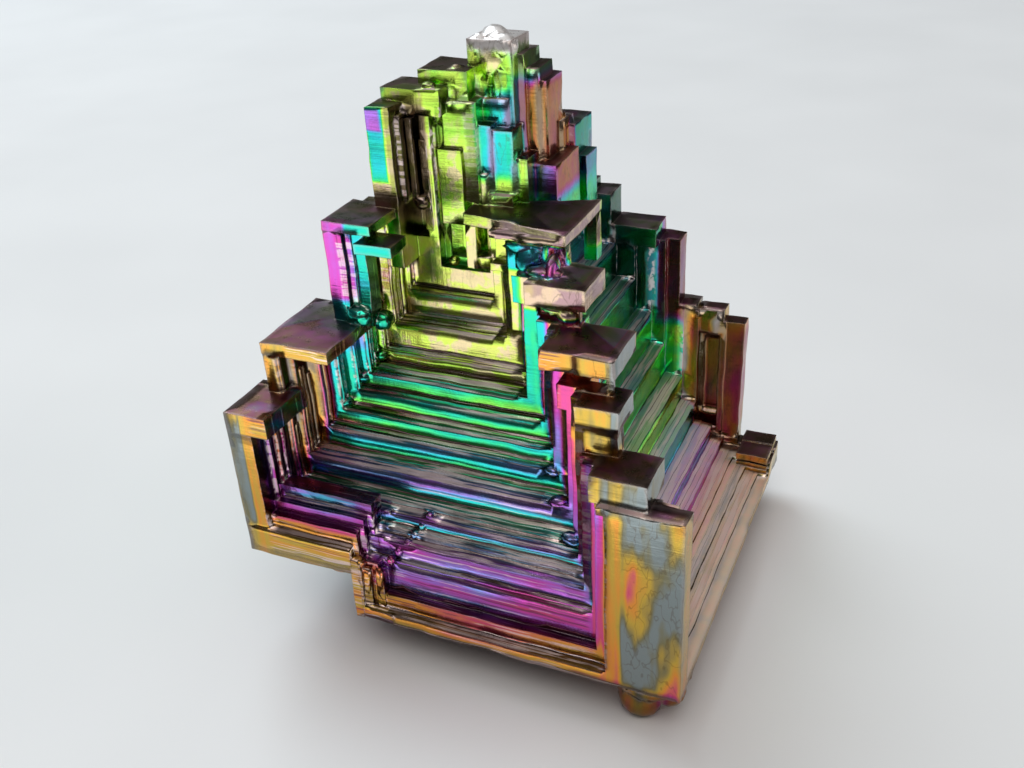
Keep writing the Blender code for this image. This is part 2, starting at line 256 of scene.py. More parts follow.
class Shader:
    """One material's node tree, with the few node kinds the crystal needs."""

    def __init__(self, name: str) -> None:
        """Start a new material.

        Args:
            name: Name of the material.
        """
        self.material = bpy.data.materials.new(name)
        self.material.use_nodes = True
        self.tree = self.material.node_tree
        self.surface = self.tree.nodes["Principled BSDF"]
        self.point = self.find_point()

    def node(self, kind: str, settings: dict | None = None, inputs: dict | None = None) -> bpy.types.Node:
        """Add a node.

        Args:
            kind: Node type name.
            settings: Properties to set on the node.
            inputs: Values or sockets for its inputs, by name or number.

        Returns:
            The node.
        """
        made = self.tree.nodes.new(kind)
        for key, value in (settings or {}).items():
            setattr(made, key, value)
        for key, value in (inputs or {}).items():
            self.plug(value, made.inputs[key])
        return made

    def plug(self, value: object, socket: Socket) -> None:
        """Feed a socket from a value, a socket or a constant.

        Args:
            value: What to feed in.
            socket: Input socket.
        """
        if isinstance(value, Value):
            self.tree.links.new(value.socket, socket)
        elif isinstance(value, Socket):
            self.tree.links.new(value, socket)
        else:
            socket.default_value = value

    def axes(self, vector: Socket) -> list[Value]:
        """Return a vector's three parts.

        Args:
            vector: Vector socket.

        Returns:
            The parts along X, Y and Z.
        """
        parts = self.node("ShaderNodeSeparateXYZ", inputs={0: vector})
        return [Value(self.tree, part) for part in parts.outputs]

    def find_point(self) -> Point:
        """Return the point being shaded."""
        place = self.node("ShaderNodeTexCoord").outputs["Object"]
        scaled = self.node("ShaderNodeVectorMath", {"operation": "SCALE"}, {0: place, "Scale": 1.0 / MM})
        x, y, z = self.axes(scaled.outputs[0])
        across, _, upward = self.axes(self.flat_normal())
        return Point(
            scaled.outputs[0], x, y, z,
            height=z - RISE,
            sideways=abs(across).ramp(0.5, 0.8),
            rightward=across.ramp(0.6, 0.85),
            up=upward.ramp(0.55, 0.8),
        )

    def flat_normal(self) -> Socket:
        """Return the direction of the flat face."""
        return self.node("ShaderNodeNewGeometry").outputs["True Normal"]

    def rounding(self, radius: float, samples: int) -> tuple[Socket, Value]:
        """Round the edges in the shading only.

        Args:
            radius: Radius in millimetres.
            samples: Number of rays.

        Returns:
            The rounded normal, and how far it turns away from the flat face.
        """
        normal = self.node("ShaderNodeBevel", {"samples": samples}, {"Radius": radius * MM}).outputs[0]
        along = self.node(
            "ShaderNodeVectorMath", {"operation": "DOT_PRODUCT"}, {0: normal, 1: self.flat_normal()}
        )
        return normal, 1.0 - Value(self.tree, along.outputs["Value"])

    def noise(self, place: Socket, scale: float, detail: float, rough: float = 0.5) -> Value:
        """Return a noise between 0 and 1.

        Args:
            place: Position socket, in millimetres.
            scale: Cells per millimetre.
            detail: Number of octaves.
            rough: Weight of the finer octaves.

        Returns:
            The noise value.
        """
        made = self.node(
            "ShaderNodeTexNoise",
            inputs={"Vector": place, "Scale": scale, "Detail": detail, "Roughness": rough},
        )
        return Value(self.tree, made.outputs["Fac"])

    def grain(self, scales: Triple, detail: float, rough: float = 0.5) -> Value:
        """Return a noise with its own scale along each axis.

        Args:
            scales: Cells per millimetre along X, Y and Z.
            detail: Number of octaves.
            rough: Weight of the finer octaves.

        Returns:
            The noise value.
        """
        axes = zip((self.point.x, self.point.y, self.point.z), scales)
        place = self.node("ShaderNodeCombineXYZ", inputs={i: a * s for i, (a, s) in enumerate(axes)})
        return self.noise(place.outputs[0], 1.0, detail, rough)

    def tint(self, share: Value, stops: Sequence[tuple[float, Triple]]) -> Socket:
        """Return a colour looked up along a ramp.

        Args:
            share: Position along the ramp.
            stops: Positions and colours.

        Returns:
            The colour socket.
        """
        made = self.node("ShaderNodeValToRGB", inputs={0: share})
        # Two tints blend smoothly; a longer row keeps its bands.
        made.color_ramp.interpolation = "B_SPLINE" if len(stops) == 2 else "LINEAR"
        fill_ramp(made.color_ramp, stops)
        return made.outputs[0]

    def curve(self, share: Value, points: Stops) -> Value:
        """Return a value looked up along a curve of points.

        Args:
            share: Place along the curve, 0 to 1.
            points: Places and values.

        Returns:
            The value.
        """
        grey = self.tint(share.clamped(), [(at, (level,) * 3) for at, level in points])
        parts = self.node("ShaderNodeSeparateColor", inputs={0: grey})
        return Value(self.tree, parts.outputs[0])

    def blend(self, share: Value | float, first: object, second: object) -> Socket:
        """Return a mix of two colours.

        Args:
            share: How much of the second to use.
            first: First colour or socket.
            second: Second colour or socket.

        Returns:
            The mixed colour socket.
        """
        made = self.node("ShaderNodeMix", {"data_type": "RGBA"})
        for slot, value in ((0, share), (6, first), (7, second)):
            self.plug((*value, 1.0) if isinstance(value, tuple) else value, made.inputs[slot])
        return made.outputs[2]


# --------------------------------------------------------------------------- geometry helpers


def deselect() -> None:
    """Leave object mode clean, with nothing selected."""
    if bpy.context.object and bpy.context.object.mode != "OBJECT":
        bpy.ops.object.mode_set(mode="OBJECT")
    bpy.ops.object.select_all(action="DESELECT")


def pick(thing: Thing) -> None:
    """Select one object only and make it active.

    Args:
        thing: Object to select.
    """
    deselect()
    thing.select_set(True)
    bpy.context.view_layer.objects.active = thing


def add_block(name: str, x: Span, y: Span, z: Span) -> Thing:
    """Add a box by its spans, in millimetres above the crystal's underside.

    Args:
        name: Object name.
        x: Span along X.
        y: Span along Y.
        z: Span along Z.

    Returns:
        The box.
    """
    deselect()
    spans = [sorted(span) for span in (x, y, z)]
    centre = [sum(span) / 2 for span in spans]
    centre[2] += RISE
    size = [span[1] - span[0] for span in spans]
    bpy.ops.mesh.primitive_cube_add(
        size=1.0, location=[c * MM for c in centre], scale=[s * MM for s in size]
    )
    block = bpy.context.object
    block.name = name
    return block


def join(pieces: Sequence[Thing], name: str) -> Thing:
    """Join several objects into one mesh with its place applied.

    Args:
        pieces: Objects to join.
        name: Name of the joined object.

    Returns:
        The joined object.
    """
    deselect()
    for piece in pieces:
        piece.select_set(True)
    bpy.context.view_layer.objects.active = pieces[0]
    if len(pieces) > 1:
        bpy.ops.object.join()
    joined = bpy.context.object
    joined.name = name
    bpy.ops.object.transform_apply(location=True, rotation=True, scale=True)
    return joined


def combine(body: Thing, tool: Thing, operation: str) -> None:
    """Cut or join a body with a tool made of overlapping closed shells, and remove the tool.

    Args:
        body: Mesh to change.
        tool: Mesh to use.
        operation: DIFFERENCE or UNION.
    """
    pick(body)
    modifier = body.modifiers.new("combine", "BOOLEAN")
    modifier.operation = operation
    modifier.object = tool
    modifier.solver = "EXACT"
    modifier.use_self = True
    bpy.ops.object.modifier_apply(modifier=modifier.name)
    bpy.data.objects.remove(tool, do_unlink=True)


# --------------------------------------------------------------------------- growth steps


@dataclass(frozen=True)
class Ring:
    """One frame of a hopper: plane, floor and the two side walls."""

    plane: float
    floor: float
    near: float
    far: float


@dataclass(frozen=True)
class Hopper:
    """A sunken side of the crystal, with finer steps grown between its frames.

    Each run of one tread's width gets one more fine step, up to most_steps.  Together they
    take lift_share of the rise to the next frame, up to most_lift.
    """

    name: str
    side: Side
    rings: tuple[Ring, ...]
    seed: int
    tread: float = 1.15
    most_steps: int = 3
    lift_share: float = 0.22
    most_lift: float = 0.30
    gap: float = 0.04           # kept to the side walls
    headroom: float = 0.15      # cut above the step, below every cap

    def tool_for(self, number: int, plane: float, span: Span, level: Span) -> Thing:
        """Return the box that lowers one fine step.

        Args:
            number: Running number, for the name.
            plane: Where the step's wall stands.
            span: Ends of the step along the hopper.
            level: Bottom and top of the box.

        Returns:
            The box.
        """
        outer = self.side.sign * (self.side.reach + BEYOND)
        x, y = ((plane, outer), span) if self.side.axis == 0 else (span, (plane, outer))
        return add_block(f"{self.name}_{number}", x, y, level)

    def fine_tools(self) -> list[Thing]:
        """Return the cutters of the fine steps between the frames.

        Returns:
            One to three boxes for each pair of frames.
        """
        dice = random.Random(self.seed)
        tools = []
        for outer, inner in zip(self.rings, self.rings[1:]):
            run = inner.plane - outer.plane
            rise = inner.floor - outer.floor
            count = min(self.most_steps, 1 + int(abs(run) / self.tread))
            lift = min(self.lift_share * rise, self.most_lift)
            for step in range(count):
                share = (step + dice.uniform(0.45, 1.0)) / (count + 0.6)
                drop = lift * (1.0 - step / count) * dice.uniform(0.7, 1.0)
                span = (inner.near + self.gap, inner.far - self.gap)
                level = (inner.floor - drop, inner.floor + self.headroom)
                tools.append(self.tool_for(len(tools), outer.plane + share * run, span, level))
        return tools


FRONT_RINGS = (
    Ring(-20.1, 3.2, -8.6, 15.3),
    Ring(-19.6, 7.0, -8.4, 14.6),
    Ring(-18.6, 9.3, -8.4, 13.6),
    Ring(-17.8, 10.1, -8.4, 13.1),
    Ring(-16.5, 11.4, -8.4, 12.4),
    Ring(-15.0, 12.0, -20.3, 11.5),
    Ring(-12.6, 14.7, -19.6, 9.5),
    Ring(-11.4, 17.0, -18.4, 8.0),
    Ring(-10.1, 18.7, -16.9, 7.3),
    Ring(-9.1, 20.7, -15.6, 5.7),
    Ring(-6.5, 22.5, -14.6, 2.9),
    Ring(-5.3, 23.9, -13.9, 2.3),
    Ring(-2.6, 26.8, -13.0, -1.1),
    Ring(-1.6, 29.7, -12.3, -2.2),
)
RIGHT_RINGS = (
    Ring(22.6, 0.9, -19.6, 16.7),
    Ring(21.0, 1.3, -19.2, 17.0),
    Ring(19.25, 1.9, -18.8, 17.3),
    Ring(17.5, 2.45, -18.1, 19.7),
    Ring(16.1, 3.65, -16.6, 19.6),
    Ring(14.0, 5.7, -15.2, 19.5),
    Ring(12.3, 8.6, -13.4, 18.8),
    Ring(10.2, 12.2, -10.5, 18.3),
    Ring(8.6, 16.5, -7.7, 17.6),
    Ring(6.8, 20.85, -4.4, 17.2),
    Ring(4.6, 25.1, -1.9, 16.6),
    Ring(2.5, 29.4, 0.2, 15.9),
)
LEFT_RINGS = (
    Ring(-23.1, 6.9, -14.8, 14.9),
    Ring(-21.35, 10.7, -11.9, 13.7),
    Ring(-20.1, 13.9, -9.8, 13.1),
    Ring(-18.9, 17.3, -7.7, 12.4),
    Ring(-17.7, 21.1, -5.9, 11.7),
    Ring(-16.3, 25.3, -3.5, 10.9),
    Ring(-15.1, 29.7, -2.2, 10.2),
    Ring(-13.7, 34.2, -0.4, 9.3),
)
BACK_RINGS = (
    Ring(20.5, 3.1, -15.3, 8.7),
    Ring(19.45, 5.6, -14.4, 1.5),
    Ring(18.3, 9.1, -13.35, -1.8),
    Ring(17.1, 13.3, -12.15, -2.6),
    Ring(16.0, 18.1, -10.9, -3.7),
    Ring(14.8, 23.2, -9.75, -4.6),
)
HOPPERS = (
    Hopper("front_hopper", Side.FRONT, FRONT_RINGS, seed=3),
    Hopper("right_hopper", Side.RIGHT, RIGHT_RINGS, seed=5),
    Hopper("left_hopper", Side.LEFT, LEFT_RINGS, seed=7),
    Hopper("back_hopper", Side.BACK, BACK_RINGS, seed=11),
)


# --------------------------------------------------------------------------- film


# Film order against depth into a hopper, or height on a ridge, as shares.
FRONT_FILM = (
    (0.00, 0.12), (0.04, 0.17), (0.065, 0.28), (0.086, 0.36), (0.11, 0.38), (0.155, 0.43),
    (0.19, 0.48), (0.25, 0.55), (0.32, 0.60), (0.43, 0.66), (0.48, 0.68), (0.54, 0.70),
    (0.59, 0.71), (0.70, 0.80), (0.76, 0.80), (0.88, 0.80), (1.00, 0.82),
)
RIGHT_FILM = (
    (0.00, 0.14), (0.06, 0.16), (0.10, 0.28), (0.16, 0.12), (0.22, 0.30), (0.30, 0.40),
    (0.38, 0.50), (0.46, 0.60), (0.55, 0.82), (0.64, 0.70), (0.80, 0.66), (1.00, 0.62),
)
RIDGE_FILM = (
    (0.00, 0.10), (0.30, 0.10), (0.45, 0.16), (0.60, 0.28), (0.68, 0.36), (0.73, 0.80),
    (0.85, 0.84), (1.00, 0.86),
)
RIDGE_HEIGHT = 56.0
# Height of the front hopper's floor against depth, as shares of FOOT_DEPTH and FOOT_HEIGHT.
FOOT_DEPTH = 22.0
FOOT_HEIGHT = 40.0
RIM_RINGS = (Ring(-22.0, 0.0, 0.0, 0.0), Ring(-21.1, 1.4, 0.0, 0.0))
FRONT_FOOT = tuple(
    ((ring.plane + HALF_DEPTH) / FOOT_DEPTH, ring.floor / FOOT_HEIGHT)
    for ring in (*RIM_RINGS, *FRONT_RINGS)
)


@dataclass(frozen=True)
class Funnel:
    """The room inside one hopper, which leans and narrows with depth.

    Edge is where the room ends, as a share of its half width; end is where it ends in depth.
    Film is the film's order against depth, down to film_depth.
    """

    side: Side
    middle: float
    lean: float
    half: float
    taper: float
    edge: Span
    end: Span
    film: Stops
    film_depth: float
    least_half: float = 2.0

    def depth(self, point: Point) -> Value:
        """Return how deep into the hopper a point lies.

        Args:
            point: Point being shaded.

        Returns:
            The depth below the crystal's outer plane.
        """
        along = point.x if self.side.axis == 0 else point.y
        return self.side.reach - self.side.sign * along

    def across(self, point: Point) -> Value:
        """Return how far across the hopper a point lies.

        Args:
            point: Point being shaded.

        Returns:
            0 in the middle, below 1 inside and above 1 on the ridges.
        """
        other = point.y if self.side.axis == 0 else point.x
        deep = self.depth(point)
        off = abs(other - self.middle - self.lean * deep)
        return off / (self.half - self.taper * deep).most(self.least_half)

    def inside(self, point: Point) -> Value:
        """Return 1 inside the hopper and 0 outside, with a soft edge.

        Args:
            point: Point being shaded.

        Returns:
            The mask.
        """
        return self.across(point).ramp(*self.edge) * self.depth(point).ramp(*self.end)

    def order(self, shader: Shader) -> Value:
        """Return the film's order at a point's depth.

        Args:
            shader: Shader being built.

        Returns:
            The order.
        """
        return shader.curve(self.depth(shader.point) / self.film_depth, self.film)


FRONT_ROOM = Funnel(Side.FRONT, -2.6, -0.225, 20.0, 0.715, (1.08, 1.0), (23.5, 20.5), FRONT_FILM, 22.0)
RIGHT_ROOM = Funnel(Side.RIGHT, -1.6, 0.46, 19.8, 0.46, (1.05, 1.0), (23.5, 20.5), RIGHT_FILM, 22.0)
LEFT_ROOM = Funnel(Side.LEFT, 0.2, 0.25, 15.8, 0.85, (1.10, 0.98), (13.0, 11.0), FRONT_FILM, 12.0)
BACK_ROOM = Funnel(Side.BACK, -5.3, 0.0, 13.0, 1.1, (1.10, 0.98), (12.0, 10.0), FRONT_FILM, 10.0)


@dataclass(frozen=True)
class Zones:
    """Masks at the point being shaded.

    Core is the front hopper without its two upright sides, hollow the front and right
    hoppers without the tops of their caps, and climb the height above a front wall's foot.
    """

    front: Value
    core: Value
    right: Value
    left: Value
    back: Value
    hollow: Value
    climb: Value


def box_distance(point: Point, centre: Sequence[float], reach: Sequence[float]) -> Value:
    """Return how far from a box's centre a point lies.

    Args:
        point: Point being shaded.
        centre: Centre of the box.
        reach: Half-sizes of the box.

    Returns:
        0 at the centre and 1 on the box's faces.
    """
    offsets = [abs(axis - c) / r for axis, c, r in zip((point.x, point.y, point.height), centre, reach)]
    return offsets[0].most(offsets[1]).most(offsets[2])


@dataclass(frozen=True)
class FilmSpot:
    """A soft region where the film has its own thickness.

    Order is a place along the film's colour ramp, and shade is painted shade: how far the region is
    darkened.
    """

    name: str
    centre: Triple
    reach: Triple
    order: float
    shade: float = 0.0
    edge: Span = (1.12, 0.72)

    def mask(self, point: Point) -> Value:
        """Return how much of the spot applies.

        Args:
            point: Point being shaded.

        Returns:
            The mask, from 0 outside to 1 within.
        """
        mask = box_distance(point, self.centre, self.reach).ramp(*self.edge)
        mask.socket.node.label = self.name
        return mask


@dataclass(frozen=True)
class Cap:
    """The level top of a cap or a ridge block: its spans along X and Y, and its height."""

    across: Span
    along: Span
    top: float
    margin: float = 0.25
    slack: float = 1.3
    edge: Span = (1.02, 0.99)

    def mask(self, point: Point) -> Value:
        """Return 1 on the top, else 0.

        Args:
            point: Point being shaded.

        Returns:
            The mask.
        """
        spans = (self.across, self.along)
        centre = (*(sum(span) / 2 for span in spans), self.top)
        reach = (*((span[1] - span[0]) / 2 + self.margin for span in spans), self.slack)
        return box_distance(point, centre, reach).ramp(*self.edge)


# Tints of the film in the order of its thickness.
FILM_TINTS = (
    (0.00, (0.24, 0.28, 0.28)),
    (0.05, (0.22, 0.20, 0.11)),
    (0.12, (0.60, 0.40, 0.07)),
    (0.20, (0.82, 0.32, 0.06)),
    (0.27, (0.72, 0.10, 0.20)),
    (0.34, (0.62, 0.08, 0.46)),
    (0.41, (0.42, 0.18, 0.70)),
    (0.48, (0.14, 0.36, 0.70)),
    (0.55, (0.03, 0.58, 0.60)),
    (0.62, (0.03, 0.62, 0.32)),
    (0.70, (0.11, 0.76, 0.12)),
    (0.78, (0.42, 0.82, 0.08)),
    (0.86, (0.64, 0.80, 0.12)),
    (0.93, (0.60, 0.46, 0.22)),
    (1.00, (0.42, 0.27, 0.28)),
)
FILM_SPOTS = (
    FilmSpot("tower", (-5.0, 4.5, 46.0), (8.0, 8.0, 13.5), 0.81),
    FilmSpot("left_low_leg", (-23.4, -21.0, 15.0), (1.2, 3.5, 8.0), 0.03),
    FilmSpot("left_low_foot", (-19.0, -21.9, 6.4), (8.2, 1.0, 3.2), 0.13),
    FilmSpot("left_second_leg", (-21.8, -16.5, 24.8), (1.2, 2.0, 5.5), 0.15),
    FilmSpot("left_second_cap", (-18.0, -16.9, 28.0), (4.6, 1.0, 1.4), 0.12),
    FilmSpot("left_third_leg", (-16.4, -9.9, 33.5), (1.9, 1.0, 8.0), 0.36),
    FilmSpot("left_third_foot", (-16.0, -9.9, 29.0), (2.6, 1.4, 2.2), 0.58),
    FilmSpot("left_fourth_leg", (-13.0, -4.8, 46.0), (1.0, 1.2, 4.2), 0.57),
    FilmSpot("left_fourth_rim", (-13.8, -4.8, 48.5), (1.6, 1.2, 1.2), 0.40),
    FilmSpot("left_fourth_foot", (-13.4, -4.8, 40.6), (1.6, 1.2, 1.6), 0.93),
    FilmSpot("front_low_plate", (21.2, -21.9, 11.0), (3.4, 0.8, 13.0), 0.10),
    FilmSpot("front_low_inner", (16.6, -21.4, 11.0), (1.6, 1.4, 11.0), 0.19),
    FilmSpot("front_low_bar", (15.4, -20.6, 12.0), (0.8, 1.4, 9.0), 0.36),
    FilmSpot("front_second", (17.5, -21.3, 22.2), (4.4, 1.2, 2.2), 0.07),
    FilmSpot("front_third", (14.3, -17.9, 26.8), (3.6, 1.6, 3.0), 0.12),
    FilmSpot("front_fourth", (11.8, -15.5, 31.0), (5.4, 1.6, 2.4), 0.16),
    FilmSpot("front_fifth", (8.0, -10.3, 34.8), (4.4, 1.4, 2.2), 1.10),
    FilmSpot("front_top", (3.0, -5.8, 38.0), (9.0, 1.6, 1.8), 1.12),
    FilmSpot("front_top_leg", (6.4, -5.4, 36.6), (1.2, 1.6, 1.4), 0.30),
    FilmSpot("front_top_side", (6.9, -0.5, 37.0), (0.9, 5.2, 2.6), 1.05),
    FilmSpot("front_fifth_side", (10.7, -7.6, 34.8), (0.8, 3.2, 2.0), 1.05),
    FilmSpot("front_fourth_side", (15.3, -12.3, 31.0), (0.8, 3.6, 2.0), 0.02),
    FilmSpot("front_third_side", (16.6, -15.8, 27.0), (0.8, 2.8, 2.6), 0.02),
    FilmSpot("front_second_side", (20.3, -18.9, 22.2), (0.8, 3.0, 2.2), 0.02),
    FilmSpot("front_top_melt", (2.8, -5.2, 36.3), (2.6, 1.6, 1.7), 0.53),
    FilmSpot("front_melt", (7.0, -8.0, 34.6), (2.6, 2.4, 1.6), 0.57),
    # Painted shade: the right hopper's walls are darkened where they mirror the dark treads.
    FilmSpot("right_wall_low", (17.5, 20.2, 10.0), (4.2, 2.4, 9.6), 0.24, shade=0.6),
    FilmSpot("right_wall_mid", (10.8, 18.8, 25.0), (1.8, 2.4, 6.0), 0.28, shade=0.75),
    FilmSpot("right_wall_top", (3.0, 17.3, 29.0), (6.6, 3.0, 9.0), 0.62, shade=0.93),
    FilmSpot("right_corner_block", (22.0, 19.8, 3.0), (3.6, 3.6, 2.6), 0.12),
    # Painted shade on the tower's right side and in the grooves on its left.
    FilmSpot("tower_right", (0.9, 9.0, 45.0), (2.6, 6.5, 6.5), 0.24, shade=0.5),
    FilmSpot("tower_box", (-2.4, 1.4, 46.0), (2.0, 2.6, 4.5), 0.57),
    FilmSpot("tower_shoulder", (2.1, 13.0, 42.0), (1.2, 3.0, 4.0), 0.60),
    FilmSpot("tower_left_grooves", (-10.4, -2.4, 43.5), (1.4, 2.6, 7.0), 0.93, shade=0.75),
    # Painted shade under the crystal and on its corner foot.
    FilmSpot("corner_foot", (20.0, -19.8, -2.5), (4.6, 3.8, 3.2), 0.24, shade=0.72),
    FilmSpot("under", (0.0, 0.0, -3.8), (30.0, 30.0, 4.0), 0.20, shade=0.75),
)
CAPS = (
    Cap((15.8, 24.0), (-22.0, -19.8), 20.9),
    Cap((14.8, 20.4), (-21.4, -16.4), 23.6),
    Cap((12.3, 16.6), (-18.0, -13.6), 28.4),
    Cap((8.0, 15.4), (-15.5, -9.1), 32.0),
    Cap((4.6, 10.8), (-10.4, -4.9), 35.9),
    Cap((-5.0, 7.3), (-6.0, 4.6), 39.1),
    Cap((-24.0, -19.0), (-22.0, -14.9), 22.8),
    Cap((-22.0, -14.0), (-16.9, -6.1), 28.6),
    Cap((-17.3, -11.7), (-10.1, -3.7), 39.6),
    Cap((-13.4, -9.3), (-10.7, -7.2), 37.8),
    Cap((19.8, 23.7), (16.4, 22.0), 3.6),
    Cap((1.0, 24.0), (17.6, 22.0), 19.4),
    Cap((1.0, 24.0), (17.6, 22.0), 20.7),
    Cap((1.0, 24.0), (15.9, 22.0), 30.8),
    Cap((-4.0, 9.5), (13.0, 22.0), 35.8),
)


@dataclass(frozen=True)
class OxideFilm:
    """The finish of the whole crystal: bright metal under a film of uneven thickness, with painted shade,
    dark reflections and highlights.
    """

    name: str = "bismuth_oxide_film"
    fine_radius: float = 0.14
    wide_radius: float = 0.6
    relief_depth: float = 0.12
    tan: Triple = (0.74, 0.55, 0.38)
    # Painted dark reflections: caps in brown and plum, front treads darker still.
    brown: Triple = (0.085, 0.050, 0.036)
    plum: Triple = (0.11, 0.035, 0.070)
    tread: Triple = (0.030, 0.016, 0.014)
    blush: Triple = (0.98, 0.84, 0.86)
    moss: Triple = (0.02, 0.03, 0.02)
    # Painted shade on the front hopper's walls that face right.
    painted_wall_shade: Triple = (0.022, 0.014, 0.014)
    wall_line: Triple = (0.55, 0.50, 0.45)
    # Painted shade where the spots darken the film.
    painted_shade_colour: Triple = (0.015, 0.012, 0.012)
    # Painted shade at each front wall's foot, with a painted highlight line.
    foot: Triple = (0.10, 0.055, 0.040)
    painted_foot_highlight: Triple = (0.85, 0.66, 0.62)
    silver: Triple = (0.78, 0.75, 0.74)
    # Painted highlight on the rounded edges in the hoppers.
    seam: Triple = (0.95, 0.78, 0.76)
    # Painted highlight along the treads' fine steps.
    painted_step_highlight: Triple = (0.95, 0.72, 0.72)
    dark_streak: Triple = (0.16, 0.05, 0.10)
    pale_streak: Triple = (0.98, 0.74, 0.74)
    outline: Triple = (0.10, 0.06, 0.03)
    # Painted highlight on the edges of the ridges' blocks.
    painted_edge_sheen: Triple = (0.62, 0.48, 0.44)

    def build(self) -> bpy.types.Material:
        """Build the material.

        Returns:
            The material.
        """
        return FilmShader(self).build()


class FilmShader(Shader):
    """The shader of an oxide film, with the masks of the crystal's parts."""

    def __init__(self, finish: OxideFilm) -> None:
        """Start the material.

        Args:
            finish: The film's tints and sizes.
        """
        super().__init__(finish.name)
        self.finish = finish
        self.zones = self.find_zones()

    def find_zones(self) -> Zones:
        """Return the masks at the point being shaded.

        Returns:
            The masks.
        """
        point = self.point
        front, right = FRONT_ROOM.inside(point), RIGHT_ROOM.inside(point)
        deep = FRONT_ROOM.depth(point)
        climb = point.height - FOOT_HEIGHT * self.curve(deep / FOOT_DEPTH, FRONT_FOOT)
        # The rim left of the jog hangs too high for the floor's curve.
        hanging = (point.x - JOG).ramp(1.0, -0.4) * deep.ramp(3.4, 2.9)
        capped = CAPS[0].mask(point)
        for cap in CAPS[1:]:
            capped = capped.most(cap.mask(point))
        return Zones(
            front=front,
            core=front * FRONT_ROOM.across(point).ramp(0.95, 0.90),
            right=right,
            left=LEFT_ROOM.inside(point),
            back=BACK_ROOM.inside(point),
            hollow=front.most(right) * (1.0 - capped),
            climb=climb.most(0.0).mix(0.9, hanging),
        )

    def growth_order(self) -> Value:
        """Return the film's order as it follows the crystal's growth.

        Returns:
            The order.
        """
        point, zones = self.point, self.zones
        # The film thins up each front wall from its foot.
        deep = FRONT_ROOM.depth(point)
        thinning = 0.12 * zones.climb.least(1.5) * deep.ramp(1.0, 6.0)
        low_walls = deep.ramp(10.8, 9.2) * deep.ramp(1.0, 4.0)
        thinning = thinning + 0.02 * zones.climb.least(10.0) * low_walls
        front = FRONT_ROOM.order(self) - thinning * deep.ramp(16.5, 14.0) + 0.06
        order = self.curve(point.height / RIDGE_HEIGHT, RIDGE_FILM)
        order = order.mix(BACK_ROOM.order(self), zones.back)
        order = order.mix(LEFT_ROOM.order(self), zones.left)
        order = order.mix(RIGHT_ROOM.order(self), zones.right)
        return order.mix(front, zones.front)

    def drifted(self, order: Value) -> Value:
        """Return the film's order with clouds, streaks along the steps and swirls.

        Args:
            order: Order without them.

        Returns:
            The order, held between 0 and 1.
        """
        point, zones = self.point, self.zones
        sides = zones.right.most(zones.left).most(zones.back)
        inside, core = zones.front.most(sides), zones.core.most(sides)
        clouds = self.noise(point.place, 0.16, 3.0) - 0.5
        streaks = self.grain((0.05, 0.8, 0.8), 2.0) - 0.5
        posts = self.grain((0.9, 0.9, 0.05), 2.0) - 0.5
        swirl = self.grain((0.34, 0.34, 0.12), 2.0, 0.4) - 0.5
        drift = streaks * core + posts * (1.0 - core)
        drift = drift * (0.14 + 0.26 * zones.front * FRONT_ROOM.depth(point).ramp(7.0, 3.0))
        # The tall plate at the front corner swirls most.
        corner = point.y.ramp(-17.5, -20.0) * point.x.ramp(12.5, 13.5)
        swirl = swirl * (0.26 + 0.55 * corner) * (1.0 - inside)
        return (order + clouds * 0.16 + drift + swirl).clamped()

    def tinted(self, order: Value) -> Socket:
        """Return the film's colour, with tan blotches where it is thickest.

        Args:
            order: The film's order.

        Returns:
            The colour.
        """
        blotch = order.ramp(0.76, 0.84) * self.noise(self.point.place, 0.42, 3.0, 0.6).ramp(0.49, 0.58)
        return self.blend(blotch * 0.75, self.tint(order, FILM_TINTS), self.finish.tan)

    def level(self, film: Socket, mottle: Value) -> Socket:
        """Return the colour of level faces: painted dark reflections on brown caps and dark front treads,
        and pale right ones.

        Args:
            film: The film's colour.
            mottle: Coarse noise.

        Returns:
            The colour.
        """
        point, zones = self.point, self.zones
        # Painted dark reflections on the caps and the front treads.
        painted_cap_reflection = self.blend(mottle.ramp(0.35, 0.65), self.finish.brown, self.finish.plum)
        cap = self.blend(0.06, painted_cap_reflection, film)
        tread = self.blend(0.82, film, self.finish.tread)
        pale = self.blend(0.52, film, self.finish.blush)
        deep = self.blend(0.6, film, self.finish.moss)
        pale = self.blend(point.x.ramp(16.5, 9.5) * 0.7, pale, deep)
        return self.blend(zones.hollow, cap, self.blend(zones.right, tread, pale))

    def upright(self, film: Socket, shade: Value) -> Socket:
        """Return the colour of upright faces.

        Args:
            film: The film's colour.
            shade: How far painted shade darkens the place.

        Returns:
            The colour.
        """
        point, zones = self.point, self.zones
        # Painted shade darkens the front hopper's walls that face right, with thin bright lines.
        lines = self.grain((2.6, 2.6, 0.03), 2.0, 0.6).ramp(0.60, 0.66)
        dark = self.blend(0.85, film, self.finish.painted_wall_shade)
        side = self.blend(lines, dark, self.blend(0.4, film, self.finish.wall_line))
        within = point.rightward * point.x.ramp(-6.0, -7.0) * point.y.ramp(3.5, 2.5)
        wall = self.blend(within, film, side)
        # Painted shade where the spots darken the place.
        wall = self.blend(shade, wall, self.blend(0.9, film, self.finish.painted_shade_colour))
        # Painted shade darkens the foot of each front wall to brown, with one painted highlight line.
        foot = zones.climb.ramp(0.34, 0.26) * zones.front * (1.0 - point.rightward)
        line = zones.climb.ramp(0.10, 0.14) * zones.climb.ramp(0.24, 0.20) * foot
        wall = self.blend(foot, wall, self.finish.foot)
        return self.blend(line, wall, self.finish.painted_foot_highlight)

